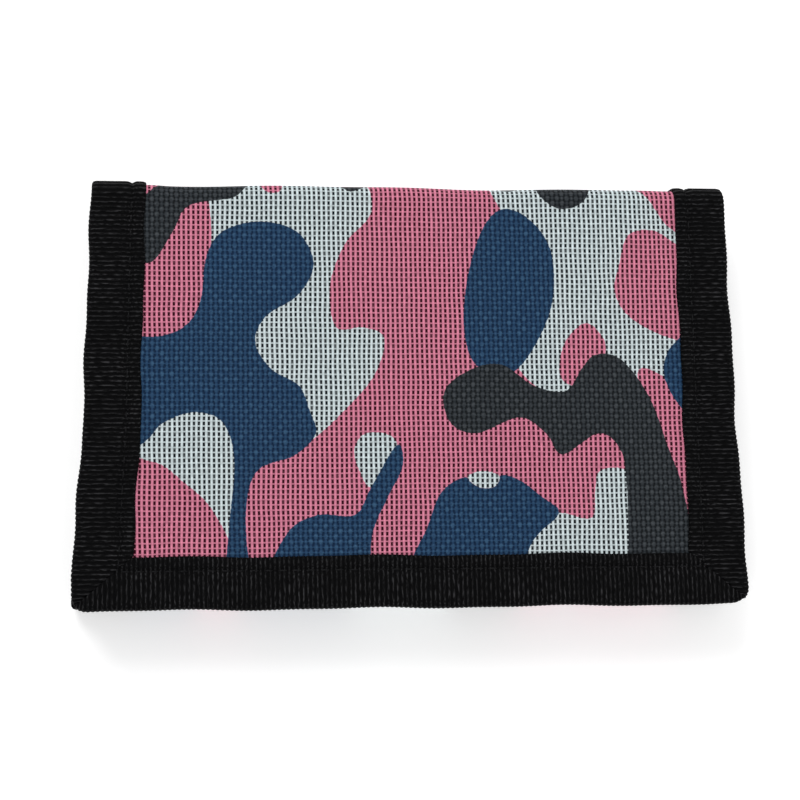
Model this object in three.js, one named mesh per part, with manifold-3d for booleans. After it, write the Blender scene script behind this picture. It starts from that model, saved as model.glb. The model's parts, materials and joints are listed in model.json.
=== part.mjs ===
// Trifold wallet, folded shut and lying on its back, in millimetres with +Z up.
// Five fabric panels run round the fold: inner flap, bottom fold, back panel, top fold, front flap.
// Every panel is a stack of plies. A ply is placed by u, the distance along its panel from a crease,
// and by depth, the distance inwards from the outer face of the shell cloth.
import * as THREE from 'three';
import * as BufferGeometryUtils from 'three/addons/utils/BufferGeometryUtils.js';
import Module from 'manifold-3d';

const wasm = await Module();
wasm.setup();

// ---- Driving dimensions ----
const WALLET_LENGTH = 125; // along the folds
const WALLET_WIDTH = 80; // across the folds, folded shut
const SHELL_T = 0.8; // printed outer cloth with its backing
const LINER_T = 0.4;
const BILL_SPACE = 0.5; // open space between shell and liner, where notes go
const TAPE_T = 0.6; // ribbed edge binding
const EDGE_TAPE_T = 0.4; // narrow tape on the free edge of the note compartment
const EDGE_TAPE_W = 6;
const SIDE_BAND = 11; // visible width of the binding at the sides
const BOTTOM_BAND = 10.4; // and across the free edge of the front flap
const FLAP_BAND = 8; // and on the inner flap
const CORNER_R = 3.5;
const POCKET_T = 0.4;
const POCKET_MOUTHS = [40, 25, 10]; // where each card pocket ends, from the rearmost to the front
const POCKET_W = 72;
const HEM_T = 0.3;
const HEM_W = 4;
const FLAP_REACH = 42; // inner flap, from its crease to its free edge
const FLAP_STEP = 1; // the inner flap is this much narrower at each end
const FOLD_STEP = 1; // the bottom fold lies this far inside the front flap's free edge
const STRIP_T = 1.2; // hook strip and loop strip
const HOOK_SIZE = [60, 11];
const LOOP_SIZE = [66, 15];
const WINDOW_T = 0.25;
const WINDOW_MOUTH = 38;
const WINDOW_TAPE_T = 0.4;
const WINDOW_TAPE_W = 4;
const COIL_T = 1; // one row of zipper coil, square in section
const COIL_SPACE = 1; // between the two rows, where the slider's web runs
const COIL_LENGTH = 92;
const ZIP_TAPE_T = 0.5;
const ZIP_TAPE_W = 5;
const ZIP_MOUTH = 8; // opening in the coin pocket's cloth
const ZIP_FROM_EDGE = 18.1; // middle of the zipper, from the inner flap's free edge
const COIN_T = 0.4;
const SLIDER_LENGTH = 8;
const SLIDER_W = 6.6;
const SLIDER_PLATE_T = 0.6;
const SLIDER_AT = 40; // middle of the slider when the zipper is shut
const WEB_T = 0.4;
const CROWN_W = 1.6;
const CROWN_OPENING = [4, 1.2];
const CROWN_T = 0.5;
const CROWN_LEG = 0.8;
const PULL_T = 0.7;
const PULL_W = 5;
const PULL_LENGTH = 18;
const PULL_BAR = 0.9;
const STOP_LENGTH = 1.6;

// ---- Clearances ----
const SEAM = 0.05; // between plies of one panel
const RUN = 0.3; // between pieces that move past each other
const CREASE = 0.15; // each side of a crease
const MITRE = 0.15; // each side of a mitred corner
const OVERRUN = 2; // how far a cutting solid runs past what it cuts

// ---- Depths of the plies, from the outer face of the shell ----
const linerIn = SHELL_T + BILL_SPACE;
const linerOut = linerIn + LINER_T;
const pocketStep = POCKET_T + SEAM;
const pocketsOut = linerOut + pocketStep * POCKET_MOUTHS.length;
const flapLinerIn = SHELL_T + SEAM;
const flapLinerOut = flapLinerIn + LINER_T;
const sliderTop = flapLinerOut + RUN;
const coilIn = sliderTop + SLIDER_PLATE_T + RUN;
const coilOut = coilIn + COIL_T;
const zipTapeIn = coilIn + (COIL_T - ZIP_TAPE_T) / 2;
const coinIn = zipTapeIn + ZIP_TAPE_T + SEAM;
const coinOut = coinIn + COIN_T;
const sliderPlate = coilOut + RUN;
const crownIn = sliderPlate + SLIDER_PLATE_T;
const sliderOut = crownIn + CROWN_OPENING[1] + CROWN_T;

// ---- Heights of the three flat panels and places of the creases ----
const band = TAPE_T + SEAM;
const backZ = band;
const flapZ = backZ + pocketsOut + band + RUN + sliderOut;
const frontZ = flapZ + SEAM + STRIP_T + RUN + STRIP_T + SEAM + linerOut;
const halfLength = WALLET_LENGTH / 2;
const freeEdge = -WALLET_WIDTH / 2;
const topCrease = WALLET_WIDTH / 2 - band;
const bottomCrease = freeEdge + FOLD_STEP + band;
const flapEdge = bottomCrease + FLAP_REACH;
const flapHalf = halfLength - FLAP_STEP;
const zipY = flapEdge - ZIP_FROM_EDGE;

// Each panel: where u and depth start, which way they run in the Y-Z plane, and how long it is.
const back = panel([bottomCrease, backZ], [1, 0], [0, 1], topCrease - bottomCrease, true, true);
const topFold = panel([topCrease, backZ], [0, 1], [-1, 0], frontZ - backZ, true, true);
const front = panel([topCrease, frontZ], [-1, 0], [0, -1], topCrease - freeEdge, true, false);
const bottomFold = panel([bottomCrease, backZ], [0, 1], [1, 0], flapZ - backZ, true, true);
const flap = panel([bottomCrease, flapZ], [1, 0], [0, -1], FLAP_REACH, true, false);

function panel(start, along, inwards, reach, creasedStart, creasedEnd) {
  return { start, along, inwards, reach, creasedStart, creasedEnd };
}

// ---- Materials ----
function finish(colour, roughness, metalness = 0) {
  return () => new THREE.MeshStandardMaterial({ color: colour, roughness, metalness });
}
const printedCloth = finish(0xb86f83, 0.85);
const lining = finish(0x1b1c22, 0.7);
const bindingTape = finish(0x17171a, 0.75);
const clearVinyl = finish(0xcfd6da, 0.15);
const hookTape = finish(0x101114, 0.9);
const loopTape = finish(0x141519, 1.0);
const zipTape = finish(0x15161a, 0.8);
const zipCoil = finish(0x1d1e22, 0.45);
const zipMetal = finish(0x8f9298, 0.35, 1.0);

// ---- Solids ----
const MERGE_WITHIN = 1e-5; // vertices closer than this are one

function toManifold(geometry) {
  const bare = geometry.clone();
  bare.deleteAttribute('normal');
  bare.deleteAttribute('uv');
  const merged = BufferGeometryUtils.mergeVertices(bare, MERGE_WITHIN);
  return new wasm.Manifold(new wasm.Mesh({
    numProp: 3,
    vertProperties: new Float32Array(merged.attributes.position.array),
    triVerts: new Uint32Array(merged.index.array),
  }));
}

function toGeometry(solid) {
  const mesh = solid.getMesh();
  const geometry = new THREE.BufferGeometry();
  geometry.setAttribute('position', new THREE.BufferAttribute(mesh.vertProperties, 3));
  geometry.setIndex(new THREE.BufferAttribute(mesh.triVerts, 1));
  const faceted = geometry.toNonIndexed();
  faceted.computeVertexNormals();
  return faceted;
}

function extrude(shape, depth) {
  return new THREE.ExtrudeGeometry(shape, { depth, bevelEnabled: false, curveSegments: 5 });
}

// A prism standing on an outline in X and Y.
function prismZ(shape, low, high) {
  return extrude(shape, high - low).translate(0, 0, low);
}

// A prism along X on an outline in Y and Z.
function prismX(points, low, high) {
  const shape = new THREE.Shape(points.map(([y, z]) => new THREE.Vector2(y, z)));
  const turn = new THREE.Matrix4().makeBasis(
    new THREE.Vector3(0, 1, 0),
    new THREE.Vector3(0, 0, 1),
    new THREE.Vector3(1, 0, 0),
  );
  return extrude(shape, high - low).applyMatrix4(turn).translate(low, 0, 0);
}

function outline(points) {
  return new THREE.Shape(points.map(([x, y]) => new THREE.Vector2(x, y)));
}

function rectangle(x0, x1, y0, y1) {
  return outline([[x0, y0], [x1, y0], [x1, y1], [x0, y1]]);
}

// A rectangle whose two corners at yRound are rounded.
function rectangleRoundedAt(half, yStraight, yRound, radius) {
  const side = Math.sign(yRound - yStraight);
  const yArc = yRound - side * radius;
  const shape = new THREE.Shape();
  shape.moveTo(-half, yStraight);
  shape.lineTo(-half, yArc);
  shape.absarc(-half + radius, yArc, radius, Math.PI, side * Math.PI / 2, side > 0);
  shape.absarc(half - radius, yArc, radius, side * Math.PI / 2, 0, side > 0);
  shape.lineTo(half, yStraight);
  shape.closePath();
  return shape;
}

function yz(onPanel, u, depth) {
  const { start, along, inwards } = onPanel;
  return [0, 1].map((k) => start[k] + along[k] * u + inwards[k] * depth);
}

const ROOM_OUTSIDE = 3; // how far a panel's room reaches outside the shell
const ROOM_INSIDE = 4.6; // and how deep inside it, past the deepest ply of any panel

// The room that one panel may fill: cut square outside a crease and at 45 degrees inside it,
// so that the next panel can swing from lying across it to lying in line with it.
function room(onPanel) {
  const outside = -ROOM_OUTSIDE;
  const inside = ROOM_INSIDE;
  const { reach, creasedStart, creasedEnd } = onPanel;
  const points = creasedStart
    ? [[CREASE, outside], [CREASE, 0], [CREASE + inside, inside]]
    : [[0, outside], [0, inside]];
  const far = creasedEnd
    ? [[reach - CREASE - inside, inside], [reach - CREASE, 0], [reach - CREASE, outside]]
    : [[reach, inside], [reach, outside]];
  const corners = points.concat(far).map(([u, depth]) => yz(onPanel, u, depth));
  return toManifold(prismX(corners, -WALLET_LENGTH, WALLET_LENGTH));
}

// A flat ply on a panel, from x0 to x1, u0 to u1 and depth0 to depth1, before its ends are mitred.
function rawPly(onPanel, [x0, x1], [u0, u1], [depth0, depth1]) {
  const corners = [[u0, depth0], [u1, depth0], [u1, depth1], [u0, depth1]];
  return toManifold(prismX(corners.map(([u, depth]) => yz(onPanel, u, depth)), x0, x1));
}

function ply(onPanel, xRange, uRange, depths) {
  return rawPly(onPanel, xRange, uRange, depths).intersect(room(onPanel));
}

// A ply that runs past both ends of its panel, and is then cut to the panel's room.
function longPly(onPanel, xRange, depths) {
  return rawPly(onPanel, xRange, [-OVERRUN, onPanel.reach + OVERRUN], depths);
}

function fullPly(onPanel, xRange, depths) {
  return longPly(onPanel, xRange, depths).intersect(room(onPanel));
}

// A tape folded over the edge of a panel at x = edge, with a leg of the given width on each face.
function sideBinding(onPanel, edge, width, innerFace, tape = TAPE_T, outerFace = 0) {
  const towards = -Math.sign(edge);
  const span = (a, b) => [Math.min(a, b), Math.max(a, b)];
  const depths = [outerFace - SEAM - tape, innerFace + SEAM + tape];
  const block = longPly(onPanel, span(edge, edge + towards * width), depths);
  const slotSpan = span(edge + towards * tape, edge + towards * (width + OVERRUN));
  const slot = rawPly(onPanel, slotSpan, [-2 * OVERRUN, onPanel.reach + 2 * OVERRUN],
    [outerFace - SEAM, innerFace + SEAM]);
  return block.subtract(slot).intersect(room(onPanel));
}

const wallet = new THREE.Group();
wallet.name = 'trifold_wallet';

function add(name, solid, material) {
  const mesh = new THREE.Mesh(toGeometry(solid), material());
  mesh.name = name;
  wallet.add(mesh);
}

const coreHalf = halfLength - band;
const flapCoreHalf = flapHalf - band;
const edgeTapeEdge = halfLength - SIDE_BAND - 1;
const noteLiner = [-coreHalf, edgeTapeEdge - EDGE_TAPE_T - SEAM];

// The tape on the liner's free edge, where notes slide in.
function noteEdgeTape(onPanel) {
  return sideBinding(onPanel, edgeTapeEdge, EDGE_TAPE_W, linerOut, EDGE_TAPE_T, linerIn);
}

// ---- Back panel ----
add('shell_back', fullPly(back, [-coreHalf, coreHalf], [0, SHELL_T]), printedCloth);
add('liner_back', fullPly(back, noteLiner, [linerIn, linerOut]), lining);
add('note_edge_tape_back', noteEdgeTape(back), bindingTape);
add('binding_back_left', sideBinding(back, -halfLength, SIDE_BAND, pocketsOut), bindingTape);
add('binding_back_right', sideBinding(back, halfLength, SIDE_BAND, SHELL_T), bindingTape);

// Three card pockets, each shorter than the one behind it, with a hem at its mouth.
const pocketMid = -bottomCrease;
const pocketSpan = [pocketMid - POCKET_W / 2, pocketMid + POCKET_W / 2];
POCKET_MOUTHS.forEach((mouth, k) => {
  const depth = linerOut + SEAM + k * pocketStep;
  const top = depth + POCKET_T;
  add(`card_pocket_${k + 1}`, ply(back, [-coreHalf, mouth], pocketSpan, [depth, top]), lining);
  const hem = ply(back, [mouth - HEM_W, mouth], pocketSpan, [top + SEAM, top + SEAM + HEM_T]);
  add(`card_pocket_hem_${k + 1}`, hem, bindingTape);
});

// ---- Top fold ----
add('shell_top_fold', fullPly(topFold, [-coreHalf, coreHalf], [0, SHELL_T]), printedCloth);
add('liner_top_fold', fullPly(topFold, noteLiner, [linerIn, linerOut]), lining);
add('note_edge_tape_top_fold', noteEdgeTape(topFold), bindingTape);
add('binding_top_fold_left', sideBinding(topFold, -halfLength, SIDE_BAND, linerOut), bindingTape);
add('binding_top_fold_right', sideBinding(topFold, halfLength, SIDE_BAND, SHELL_T), bindingTape);

// ---- Front flap ----
const frontOutline = rectangleRoundedAt(halfLength, topCrease + OVERRUN, freeEdge, CORNER_R);
const coreOutline = rectangleRoundedAt(coreHalf, topCrease + OVERRUN, freeEdge + band, CORNER_R - band);

// Height on a panel that faces up, at a depth.
function below(onPanel, depth) {
  return onPanel.start[1] - depth;
}

function flatPiece(onPanel, shape, [depth0, depth1]) {
  const solid = toManifold(prismZ(shape, below(onPanel, depth1), below(onPanel, depth0)));
  return solid.intersect(room(onPanel));
}

const BEYOND_EDGE = 2; // how far a tape's region reaches past the panel's own edge

// The part of a panel that belongs to one tape where two tapes meet in a mitre at each free corner.
function sideRegion(side, half, sideBand, yInner, yEdge, yStart) {
  const slope = (yEdge - yInner) / sideBand;
  const shift = Math.sign(slope) * MITRE;
  return outline([
    [side * (half - sideBand), yStart],
    [side * (half - sideBand), yInner - shift],
    [side * (half + BEYOND_EDGE), yEdge + slope * BEYOND_EDGE - shift],
    [side * (half + BEYOND_EDGE), yStart],
  ]);
}

function endRegion(half, sideBand, yInner, yEdge) {
  const slope = (yEdge - yInner) / sideBand;
  const shift = Math.sign(slope) * MITRE;
  return outline([
    [-(half - sideBand), yInner + shift],
    [half - sideBand, yInner + shift],
    [half + BEYOND_EDGE, yEdge + slope * BEYOND_EDGE + shift],
    [-(half + BEYOND_EDGE), yEdge + slope * BEYOND_EDGE + shift],
  ]);
}

// A tape folded over a panel's edge inside one region of the panel.
function cornerBinding(onPanel, whole, core, region, innerFace) {
  const slab = (shape, depth0, depth1) => (
    toManifold(prismZ(shape, below(onPanel, depth1), below(onPanel, depth0)))
  );
  const outer = -SEAM - TAPE_T;
  const inner = innerFace + SEAM + TAPE_T;
  const block = slab(whole, outer, inner).intersect(slab(region, outer - OVERRUN, inner + OVERRUN));
  return block.subtract(slab(core, -SEAM, innerFace + SEAM)).intersect(room(onPanel));
}

const bandTop = freeEdge + BOTTOM_BAND;
const slotStart = topCrease + 2 * OVERRUN;
const slotOutline = rectangleRoundedAt(halfLength - TAPE_T, slotStart, freeEdge + TAPE_T, CORNER_R - TAPE_T);
const frontLeft = sideRegion(-1, halfLength, SIDE_BAND, bandTop, freeEdge, slotStart);
const frontRight = sideRegion(1, halfLength, SIDE_BAND, bandTop, freeEdge, slotStart);
const frontEnd = endRegion(halfLength, SIDE_BAND, bandTop, freeEdge);
const frontLiner = rectangle(...noteLiner, freeEdge, slotStart);
const frontLinerTrim = flatPiece(front, coreOutline, [linerIn, linerOut]);
const frontTape = noteEdgeTape(front).intersect(
  flatPiece(front, rectangle(0, halfLength, bandTop + RUN, slotStart), [-OVERRUN, linerOut + OVERRUN]),
);
add('shell_front', flatPiece(front, coreOutline, [0, SHELL_T]), printedCloth);
add('liner_front', flatPiece(front, frontLiner, [linerIn, linerOut]).intersect(frontLinerTrim), lining);
add('note_edge_tape_front', frontTape, bindingTape);
add('binding_front_left', cornerBinding(front, frontOutline, slotOutline, frontLeft, linerOut), bindingTape);
add('binding_front_right', cornerBinding(front, frontOutline, slotOutline, frontRight, SHELL_T), bindingTape);
add('binding_front_bottom', cornerBinding(front, frontOutline, slotOutline, frontEnd, linerOut), bindingTape);

// Hook strip beside the bottom binding, and the loop strip that it meets on the inner flap.
const hookY = bandTop + RUN + HOOK_SIZE[1] / 2;
function strip(size, y) {
  return rectangle(-size[0] / 2, size[0] / 2, y - size[1] / 2, y + size[1] / 2);
}
const hookDepth = linerOut + SEAM;
add('hook_strip', flatPiece(front, strip(HOOK_SIZE, hookY), [hookDepth, hookDepth + STRIP_T]), hookTape);

// Clear window on the inside of the front flap, sewn down by a tape on three sides.
const windowLow = hookY + HOOK_SIZE[1] / 2 + RUN;
const windowHigh = topCrease - linerOut - WINDOW_T - WINDOW_TAPE_T - CREASE - SEAM;
const windowLeft = -(halfLength - SIDE_BAND) + RUN;
const windowDepth = linerOut + SEAM;
const tapeDepth = windowDepth + WINDOW_T + SEAM;
const windowDepths = [windowDepth, windowDepth + WINDOW_T];
const windowTapeDepths = [tapeDepth, tapeDepth + WINDOW_TAPE_T];
const innerLow = windowLow + WINDOW_TAPE_W;
const innerHigh = windowHigh - WINDOW_TAPE_W;
const windowTapes = {
  id_window_tape_lower: rectangle(windowLeft, WINDOW_MOUTH, windowLow, innerLow - SEAM),
  id_window_tape_upper: rectangle(windowLeft, WINDOW_MOUTH, innerHigh + SEAM, windowHigh),
  id_window_tape_end: rectangle(windowLeft, windowLeft + WINDOW_TAPE_W, innerLow, innerHigh),
};
const windowSheet = rectangle(windowLeft, WINDOW_MOUTH, windowLow, windowHigh);
add('id_window', flatPiece(front, windowSheet, windowDepths), clearVinyl);
for (const [name, shape] of Object.entries(windowTapes)) {
  add(name, flatPiece(front, shape, windowTapeDepths), bindingTape);
}

// ---- Bottom fold ----
const flapCore = [-flapCoreHalf, flapCoreHalf];
add('shell_bottom_fold', fullPly(bottomFold, flapCore, [0, SHELL_T]), printedCloth);
add('liner_bottom_fold', fullPly(bottomFold, flapCore, [flapLinerIn, flapLinerOut]), lining);
add('binding_bottom_fold_left', sideBinding(bottomFold, -flapHalf, FLAP_BAND, flapLinerOut), bindingTape);
add('binding_bottom_fold_right', sideBinding(bottomFold, flapHalf, FLAP_BAND, flapLinerOut), bindingTape);

// ---- Inner flap with its coin pocket ----
const flapStart = bottomCrease - OVERRUN;
const flapOutline = rectangleRoundedAt(flapHalf, flapStart, flapEdge, CORNER_R);
const flapCoreOutline = rectangleRoundedAt(flapCoreHalf, flapStart, flapEdge - band, CORNER_R - band);
const flapSlotStart = flapStart - OVERRUN;
const flapSlot = rectangleRoundedAt(flapHalf - TAPE_T, flapSlotStart, flapEdge - TAPE_T, CORNER_R - TAPE_T);
const flapBandEdge = flapEdge - FLAP_BAND;
const flapLeft = sideRegion(-1, flapHalf, FLAP_BAND, flapBandEdge, flapEdge, flapSlotStart);
const flapRight = sideRegion(1, flapHalf, FLAP_BAND, flapBandEdge, flapEdge, flapSlotStart);
const flapEnd = endRegion(flapHalf, FLAP_BAND, flapBandEdge, flapEdge);
add('shell_inner', flatPiece(flap, flapCoreOutline, [0, SHELL_T]), printedCloth);
add('liner_inner', flatPiece(flap, flapCoreOutline, [flapLinerIn, flapLinerOut]), lining);
add('binding_inner_left', cornerBinding(flap, flapOutline, flapSlot, flapLeft, coinOut), bindingTape);
add('binding_inner_right', cornerBinding(flap, flapOutline, flapSlot, flapRight, coinOut), bindingTape);
add('binding_inner_end', cornerBinding(flap, flapOutline, flapSlot, flapEnd, coinOut), bindingTape);

// Coin pocket cloth on both sides of the zipper.
const coinDepths = [coinIn, coinOut];
const coinTrim = flatPiece(flap, flapCoreOutline, coinDepths);
const coinLower = rectangle(-halfLength, halfLength, flapStart - OVERRUN, zipY - ZIP_MOUTH / 2);
const coinUpper = rectangle(-halfLength, halfLength, zipY + ZIP_MOUTH / 2, flapEdge);
add('coin_pocket_panel', flatPiece(flap, coinLower, coinDepths).intersect(coinTrim), lining);
add('coin_pocket_strip', flatPiece(flap, coinUpper, coinDepths).intersect(coinTrim), lining);

// Zipper: a row of coil on each tape, with a stop at each end.
const ZIP_TAPE_TAIL = 6; // how far each zipper tape runs past its coil
const coilInner = COIL_SPACE / 2;
const coilOuter = coilInner + COIL_T;
for (const [name, side] of [['lower', -1], ['upper', 1]]) {
  const across = (a, b) => [zipY + side * a, zipY + side * b].sort((p, q) => p - q);
  const coil = rectangle(-COIL_LENGTH / 2, COIL_LENGTH / 2, ...across(coilInner, coilOuter));
  const tape = rectangle(-COIL_LENGTH / 2 - ZIP_TAPE_TAIL, COIL_LENGTH / 2 + ZIP_TAPE_TAIL,
    ...across(coilOuter + SEAM, coilOuter + SEAM + ZIP_TAPE_W));
  add(`zipper_coil_${name}`, flatPiece(flap, coil, [coilIn, coilOut]), zipCoil);
  add(`zipper_tape_${name}`, flatPiece(flap, tape, [zipTapeIn, zipTapeIn + ZIP_TAPE_T]), zipTape);
}
for (const [name, side] of [['open_end', -1], ['shut_end', 1]]) {
  const from = side * (COIL_LENGTH / 2 + SEAM);
  const ends = [from, from + side * STOP_LENGTH].sort((p, q) => p - q);
  const block = rectangle(...ends, zipY - coilOuter, zipY + coilOuter);
  add(`zipper_stop_${name}`, flatPiece(flap, block, [coilIn, coilOut]), zipMetal);
}
const loopSpan = strip(LOOP_SIZE, hookY);
add('loop_strip', toManifold(prismZ(loopSpan, flapZ + SEAM, flapZ + SEAM + STRIP_T)), loopTape);

// ---- Zipper slider: two plates joined by a web between the rows, with a crown for the pull ----
const sliderEnds = [SLIDER_AT - SLIDER_LENGTH / 2, SLIDER_AT + SLIDER_LENGTH / 2];
const PLATE_NARROWING = 0.4; // half the plate's narrow end, as a share of its width
const SHOULDER_LENGTH = 2;
const SHOULDER_DEPTH = 1;
const WEB_SETBACK = 0.5; // the web stops this far short of the plates' wide end
const plateNarrow = SLIDER_W * PLATE_NARROWING;
const plateWide = SLIDER_W / 2;
const shoulderX = sliderEnds[1] - SHOULDER_LENGTH;
const plateOutline = outline([
  [sliderEnds[0], zipY - plateNarrow],
  [shoulderX, zipY - plateWide],
  [sliderEnds[1], zipY - plateWide + SHOULDER_DEPTH],
  [sliderEnds[1], zipY + plateWide - SHOULDER_DEPTH],
  [shoulderX, zipY + plateWide],
  [sliderEnds[0], zipY + plateNarrow],
]);
function sliderPart(shape, depth0, depth1) {
  return toManifold(prismZ(shape, below(flap, depth1), below(flap, depth0)));
}
const web = rectangle(SLIDER_AT, sliderEnds[1] - WEB_SETBACK, zipY - WEB_T / 2, zipY + WEB_T / 2);
const crownHalf = CROWN_OPENING[0] / 2 + CROWN_LEG;
const crownY = [zipY - CROWN_W / 2, zipY + CROWN_W / 2];
const crownBlock = rectangle(SLIDER_AT - crownHalf, SLIDER_AT + crownHalf, ...crownY);
const openingHalf = CROWN_OPENING[0] / 2;
const CUT_PAST = 1; // a cutting block reaches this far past what it cuts
const crownOpening = rectangle(SLIDER_AT - openingHalf, SLIDER_AT + openingHalf,
  crownY[0] - CUT_PAST, crownY[1] + CUT_PAST);
const lap = 0.1; // how far the slider's parts sink into each other where they are one casting
const sliderBody = sliderPart(plateOutline, sliderTop, sliderTop + SLIDER_PLATE_T)
  .add(sliderPart(plateOutline, sliderPlate, crownIn))
  .add(sliderPart(web, sliderTop + lap, crownIn - lap))
  .add(sliderPart(crownBlock, crownIn - lap, sliderOut))
  .subtract(sliderPart(crownOpening, crownIn, crownIn + CROWN_OPENING[1]));
add('zipper_slider', sliderBody, zipMetal);

// ---- Zipper pull: a flat tab whose end bar lies in the crown ----
const pullMid = crownIn + CROWN_OPENING[1] / 2;
const pullEnd = SLIDER_AT + PULL_BAR / 2;
const pullTip = pullEnd - PULL_LENGTH;
const PULL_TIP_SHARE = 0.32; // half the pull's tip, as a share of its width
const PULL_BAR_SHARE = 0.42; // and half of its end at the bar
const PULL_TAPER = 3;
const tipWidth = PULL_W * PULL_TIP_SHARE;
const barWidth = PULL_W * PULL_BAR_SHARE;
const pullOutline = outline([
  [pullEnd, zipY - barWidth],
  [pullEnd, zipY + barWidth],
  [pullTip + PULL_TAPER, zipY + PULL_W / 2],
  [pullTip, zipY + tipWidth],
  [pullTip, zipY - tipWidth],
  [pullTip + PULL_TAPER, zipY - PULL_W / 2],
]);
const pullWindow = rectangle(
  SLIDER_AT - crownHalf - RUN,
  SLIDER_AT - PULL_BAR / 2,
  zipY - CROWN_W / 2 - RUN,
  zipY + CROWN_W / 2 + RUN,
);
const pullDepths = [pullMid - PULL_T / 2, pullMid + PULL_T / 2];
const pullBody = sliderPart(pullOutline, ...pullDepths);
const pullHole = sliderPart(pullWindow, pullDepths[0] - CUT_PAST, pullDepths[1] + CUT_PAST);
add('zipper_pull', pullBody.subtract(pullHole), zipMetal);

export default wallet;
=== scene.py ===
# %% [markdown]
# # A trifold wallet in printed cloth
# The wallet is one long strip of printed cloth, lined inside and bound with black grosgrain tape.
# It folds twice over the top and twice at the bottom. We load the mechanical frame first, because
# the pieces are laid in the places it gives, and some of them move with one of its bodies.

# %% Load the frame
import json
import math
import bmesh
import bpy
import numpy as np
from mathutils import Matrix, Vector

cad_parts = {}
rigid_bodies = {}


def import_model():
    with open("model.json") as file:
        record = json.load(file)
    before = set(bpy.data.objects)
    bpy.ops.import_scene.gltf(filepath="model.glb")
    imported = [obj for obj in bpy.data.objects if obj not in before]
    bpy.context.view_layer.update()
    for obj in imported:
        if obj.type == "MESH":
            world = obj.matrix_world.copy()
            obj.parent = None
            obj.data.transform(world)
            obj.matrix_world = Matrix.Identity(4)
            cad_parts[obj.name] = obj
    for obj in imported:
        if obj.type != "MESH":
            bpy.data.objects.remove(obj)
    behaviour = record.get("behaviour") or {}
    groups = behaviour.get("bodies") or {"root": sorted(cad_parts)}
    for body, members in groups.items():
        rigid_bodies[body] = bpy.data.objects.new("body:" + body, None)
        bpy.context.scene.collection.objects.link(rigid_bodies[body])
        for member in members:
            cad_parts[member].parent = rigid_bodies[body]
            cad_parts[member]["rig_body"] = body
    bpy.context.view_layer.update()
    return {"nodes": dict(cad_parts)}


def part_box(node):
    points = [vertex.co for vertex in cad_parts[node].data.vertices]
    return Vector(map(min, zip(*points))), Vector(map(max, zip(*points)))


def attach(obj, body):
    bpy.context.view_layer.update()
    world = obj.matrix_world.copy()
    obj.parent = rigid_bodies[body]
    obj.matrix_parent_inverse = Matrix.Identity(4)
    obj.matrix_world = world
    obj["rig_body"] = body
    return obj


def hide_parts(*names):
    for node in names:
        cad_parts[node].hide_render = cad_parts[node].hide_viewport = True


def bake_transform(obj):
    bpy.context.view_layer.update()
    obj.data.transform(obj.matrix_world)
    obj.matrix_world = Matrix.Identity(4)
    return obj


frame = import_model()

MM = 0.001
NODES = frame["nodes"]

# %% [markdown]
# The wallet is seen from almost straight above, a little from the lower left. A camera's axes can be
# worked out with two cross products, which keeps the long side of the wallet level in the view.

# %% Camera
LOOK_FROM = Vector((-0.122, -0.156, 0.98)).normalized()
LOOK_AT = Vector((-2.3, -1.7, 15.2)) * MM
CAMERA_DISTANCE = 0.38
camera = bpy.data.objects.new("camera", bpy.data.cameras.new("camera"))
bpy.context.scene.collection.objects.link(camera)
up = LOOK_FROM.cross(Vector((1, 0, 0))).normalized()
right = up.cross(LOOK_FROM)
axes = Matrix((right, up, LOOK_FROM)).transposed().to_4x4()
camera.matrix_world = Matrix.Translation(LOOK_AT + LOOK_FROM * CAMERA_DISTANCE) @ axes
camera.data.sensor_width = 36
camera.data.lens = 92.3
camera.data.clip_start = 0.01
bpy.context.scene.camera = camera
print("camera stands", CAMERA_DISTANCE, "m away")

# %% [markdown]
# Black tape only reads as tape when soft light rakes over its ribs. Large area lights give soft
# shadows, and a bright world keeps the pale floor even.

# %% Floor and lights
def plain_material(name, colour, roughness):
    material = bpy.data.materials.new(name)
    material.use_nodes = True
    shader = material.node_tree.nodes["Principled BSDF"]
    shader.inputs["Base Color"].default_value = (*colour, 1)
    shader.inputs["Roughness"].default_value = roughness
    return material


floor_mesh = bmesh.new()
bmesh.ops.create_grid(floor_mesh, x_segments=1, y_segments=1, size=1.5)
floor_data = bpy.data.meshes.new("floor")
floor_mesh.to_mesh(floor_data)
floor_mesh.free()
floor = bpy.data.objects.new("floor", floor_data)
bpy.context.scene.collection.objects.link(floor)
pale_floor = plain_material("pale_floor", (0.93, 0.93, 0.93), 0.9)
pale_floor.node_tree.nodes["Principled BSDF"].inputs["Emission Color"].default_value = (1, 1, 1, 1)
pale_floor.node_tree.nodes["Principled BSDF"].inputs["Emission Strength"].default_value = 0.4
floor_data.materials.append(pale_floor)


def soft_light(name, place, size, power):
    lamp = bpy.data.objects.new(name, bpy.data.lights.new(name, "AREA"))
    lamp.data.size = size
    lamp.data.energy = power
    lamp.location = place
    lamp.rotation_mode = "QUATERNION"
    lamp.rotation_quaternion = Vector(place).to_track_quat("Z", "Y")
    bpy.context.scene.collection.objects.link(lamp)


soft_light("key_light", (-0.35, 0.75, 0.95), 0.6, 6.5)
soft_light("fill_light", (1.0, -0.1, 0.5), 0.7, 3.0)
soft_light("low_light", (-0.8, -0.6, 0.6), 0.8, 1.2)
world = bpy.data.worlds.new("studio")
world.use_nodes = True
world.node_tree.nodes["Background"].inputs["Color"].default_value = (1, 1, 1, 1)
world.node_tree.nodes["Background"].inputs["Strength"].default_value = 0.5
bpy.context.scene.world = world
bpy.context.scene.view_settings.view_transform = "Standard"

# %% [markdown]
# All the long plies follow one folded line: up the front, over the top, down the back, round the
# bottom and up the inner flap. If the line is known by its length, any ply can be made as a flat grid
# and then laid along it at its own depth. The corners are arcs, as thick cloth can't fold sharply.

# %% The folded line
def corner_of(node):
    low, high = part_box(node)
    return [v / MM for v in low], [v / MM for v in high]


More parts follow.
